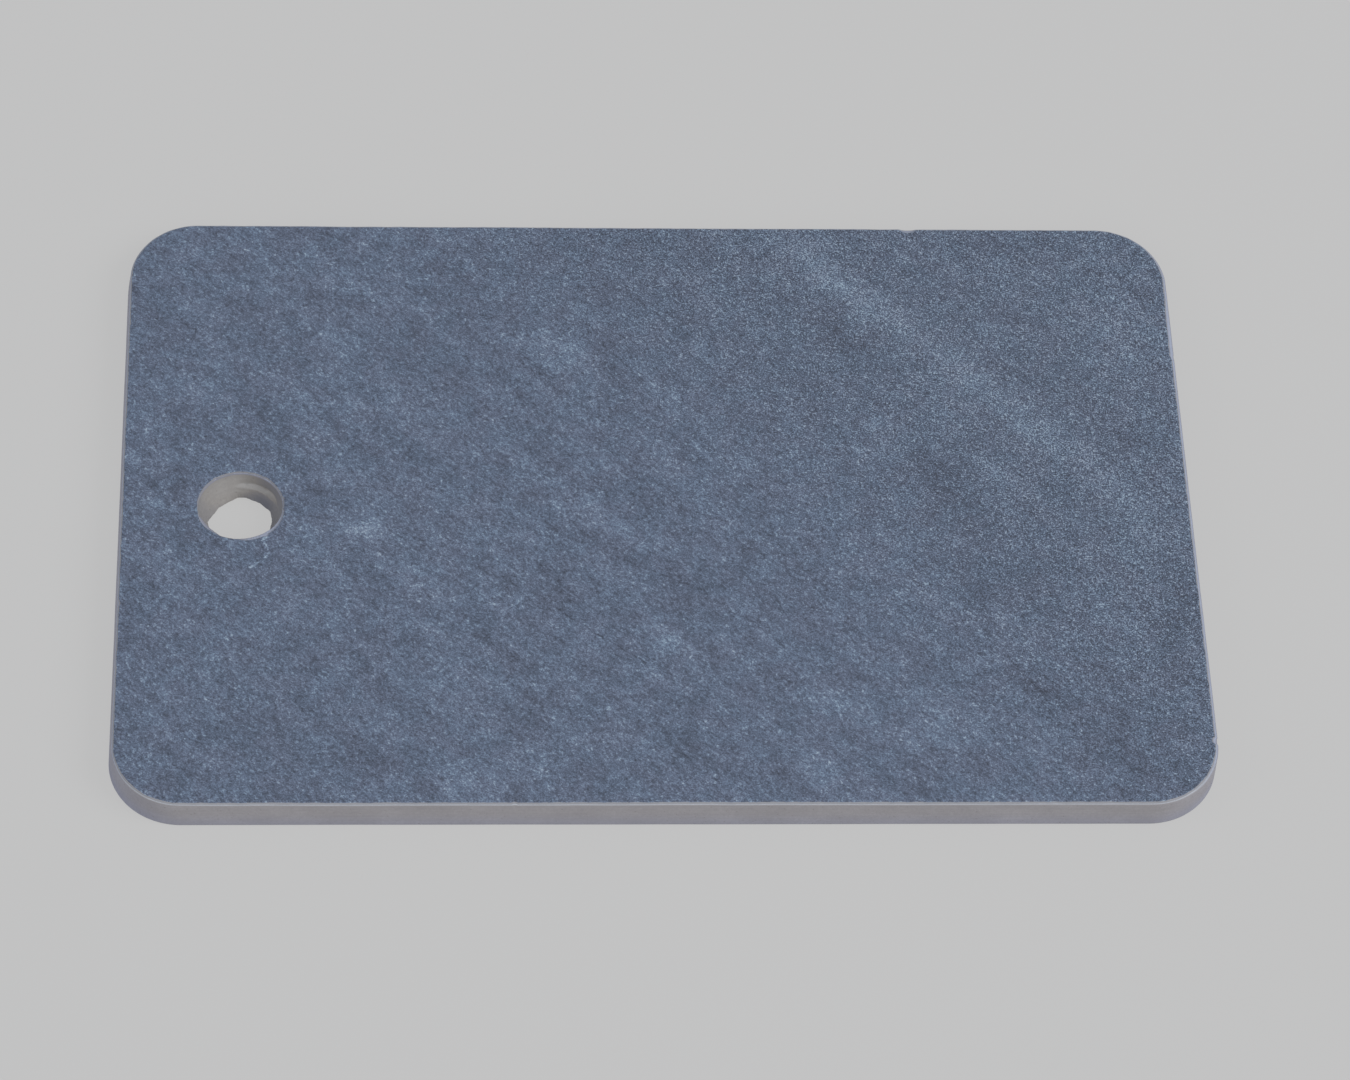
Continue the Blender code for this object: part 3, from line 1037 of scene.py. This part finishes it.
def stoneware_material():
    """Fired body: warm grey, speckled, streaked by the grinder on the walls, belt-marked beneath."""
    made, shader, principled, place = start_material("stoneware")
    underside = shader.stored("underside")
    in_bore = shader.stored("in_bore")
    grain = placed(shader, GRAIN, place, per_mm=1.2)
    streaks = shader.swing(shader.vector("MULTIPLY", place, (0.05, 0.05, 1.5)), 1.0, 4.0)
    tone = shader.plus(0.5, grain, 0.06)
    tone = shader.plus(tone, streaks, 0.22)
    tone = shader.plus(tone, shader.swing(place, 0.09, 3.0), 0.30)
    colour = shader.ramp(tone, BODY_TONES)
    # Painted cool light: bluer towards the foot of the wall and on the end walls, kept out of the bore
    low = shader.between(shader.height(place), 0.0, 6.5, 0.6, 0.0)
    painted_cool_light = shader.plus(low, shader.stored("painted_cool_light_at_ends"), 0.65, clamp=True)
    painted_cool_light = shader.times(painted_cool_light, shader.math("SUBTRACT", 1.0, in_bore))
    colour = shader.tint(painted_cool_light, colour, (0.88, 0.945, 1.14))
    dark = placed(shader, SPECKS, place, per_mm=0.55, radius=0.16)
    colour = shader.mix(shader.times(dark, 0.35), colour, DARK_SPECK)
    colour = bore_colours(shader, colour, in_bore)
    wash = shader.mix(shader.between(shader.noise(place, 0.05, 4.0, 0.62), 0.35, 0.7), *WASH_TONES)
    wash = shader.mix(shader.between(grain, -0.2, 1.4, 0.0, 0.3), wash, WASH_GRAIN)
    shader.feed(principled.inputs["Base Color"], shader.mix(underside, colour, wash))
    rough = shader.plus(0.62, shader.noise(place, 0.7, roughness=0.5), 0.2)
    shader.feed(principled.inputs["Roughness"], rough)

    height = shader.plus(0.5, grain, 0.25)
    height = shader.plus(height, streaks, 0.5)
    height = shader.plus(height, shader.times(belt_marks(shader, place), underside), 0.8)
    raise_normal(shader, principled, height, 0.06 * MM)
    return made


# ---- the slab


def dress(piece, material, node):
    """Give a piece its finish, and let it stand for its packed layer."""
    piece.data.materials.append(material)
    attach(piece, "root")
    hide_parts(node)


dress(body_skin(), stoneware_material(), "stoneware_body")
dress(engobe_skin(), engobe_material(), "engobe_coat")
dress(glaze_skin(), slate_glaze_material(), "slate_glaze")


# ---- floor, light and camera

# The floor: how far it reaches, how far it lies below the slab, its grey and its own glow
FLOOR_REACH = 6.0
FLOOR_DROP = 0.15 * MM
FLOOR_COLOUR = (0.068, 0.067, 0.066, 1.0)
FLOOR_GLOW = 0.460

# Even surroundings, and the square lights: name, place, size, watts, colour
SURROUNDINGS = (0.80, 0.83, 0.88, 1.0)
SURROUNDINGS_STRENGTH = 0.55
LIGHTS = (
    ("window", (2.8, -1.1, 2.6), 2.2, 84.0, (0.97, 0.985, 1.0)),
    ("left_fill", (-3.0, -0.6, 1.7), 2.2, 23.0, (0.97, 0.985, 1.0)),
    ("front_fill", (0.2, -3.0, 2.0), 2.2, 26.0, (1.0, 0.98, 0.96)),
    ("from_below", (0, 0, -1.2), 2.0, 5.0, (1.0, 0.99, 0.97)),
)

# The camera, as degrees and metres about a target by the slab's middle, and its lens in mm
CAMERA_TARGET = (5.06 * MM, -5.51 * MM, 0.0)
CAMERA_HEIGHT_ANGLE = 53.997
CAMERA_BEARING = -5.499
CAMERA_ROLL = 4.553
CAMERA_DISTANCE = 1.3948
CAMERA_LENS = 132.99


def floor_material():
    """A pale matt grey with a glow of its own, clear when it is seen from below."""
    made = bpy.data.materials.new("floor")
    made.use_nodes = True
    shader = Shader(made.node_tree)
    principled = made.node_tree.nodes["Principled BSDF"]
    principled.inputs["Base Color"].default_value = FLOOR_COLOUR
    principled.inputs["Roughness"].default_value = 0.9
    principled.inputs["Emission Color"].default_value = (1.0, 1.0, 1.0, 1.0)
    principled.inputs["Emission Strength"].default_value = FLOOR_GLOW
    clear = shader.node("ShaderNodeBsdfTransparent")
    behind = shader.node("ShaderNodeNewGeometry").outputs["Backfacing"]
    both = shader.node("ShaderNodeMixShader", {"Fac": behind})
    shader.feed(both.inputs[1], principled.outputs[0])
    shader.feed(both.inputs[2], clear.outputs[0])
    shader.feed(made.node_tree.nodes["Material Output"].inputs["Surface"], both.outputs[0])
    return made


def pale_floor():
    """A plain pale floor, just below the slab, that holds back no light from below."""
    mesh = bpy.data.meshes.new("floor")
    reach = FLOOR_REACH
    corners = [(-reach, -reach, 0), (reach, -reach, 0), (reach, reach, 0), (-reach, reach, 0)]
    mesh.from_pydata(corners, [], [(0, 1, 2, 3)])
    floor = bpy.data.objects.new("floor", mesh)
    floor.location.z = -FLOOR_DROP
    floor.visible_shadow = False
    bpy.context.scene.collection.objects.link(floor)
    mesh.materials.append(floor_material())


def soft_light(name, place, size, power, colour):
    """A large square area light that looks at the middle of the slab's underside."""
    data = bpy.data.lights.new(name, "AREA")
    data.shape = "SQUARE"
    data.size = size
    data.energy = power
    data.color = colour
    light = bpy.data.objects.new(name, data)
    light.location = place
    light.rotation_mode = "QUATERNION"
    light.rotation_quaternion = Vector(place).to_track_quat("Z", "Y")
    bpy.context.scene.collection.objects.link(light)


def studio():
    """Even grey surroundings, the square lights, and the plain Standard view."""
    world = bpy.data.worlds.new("surroundings")
    world.use_nodes = True
    background = world.node_tree.nodes["Background"]
    background.inputs["Color"].default_value = SURROUNDINGS
    background.inputs["Strength"].default_value = SURROUNDINGS_STRENGTH
    bpy.context.scene.world = world
    for light in LIGHTS:
        soft_light(*light)
    bpy.context.scene.view_settings.view_transform = "Standard"


def place_camera():
    """A long lens from the front, above and a little to the left, turned slightly about its axis."""
    data = bpy.data.cameras.new("camera")
    data.lens = CAMERA_LENS
    data.sensor_width = 36.0
    data.clip_start = 0.01
    data.clip_end = 50.0
    height, bearing, roll = map(math.radians, (CAMERA_HEIGHT_ANGLE, CAMERA_BEARING, CAMERA_ROLL))
    level = math.cos(height)
    back = Vector((math.sin(bearing) * level, -math.cos(bearing) * level, math.sin(height)))
    right = (-back).cross(Vector((0, 0, 1))).normalized()
    up = right.cross(-back)
    turned_right = math.cos(roll) * right + math.sin(roll) * up
    turned_up = math.cos(roll) * up - math.sin(roll) * right
    camera = bpy.data.objects.new("camera", data)
    axes = Matrix((turned_right, turned_up, back)).transposed().to_4x4()
    camera.matrix_world = Matrix.Translation(Vector(CAMERA_TARGET) + CAMERA_DISTANCE * back) @ axes
    bpy.context.scene.collection.objects.link(camera)
    bpy.context.scene.camera = camera


pale_floor()
studio()
place_camera()
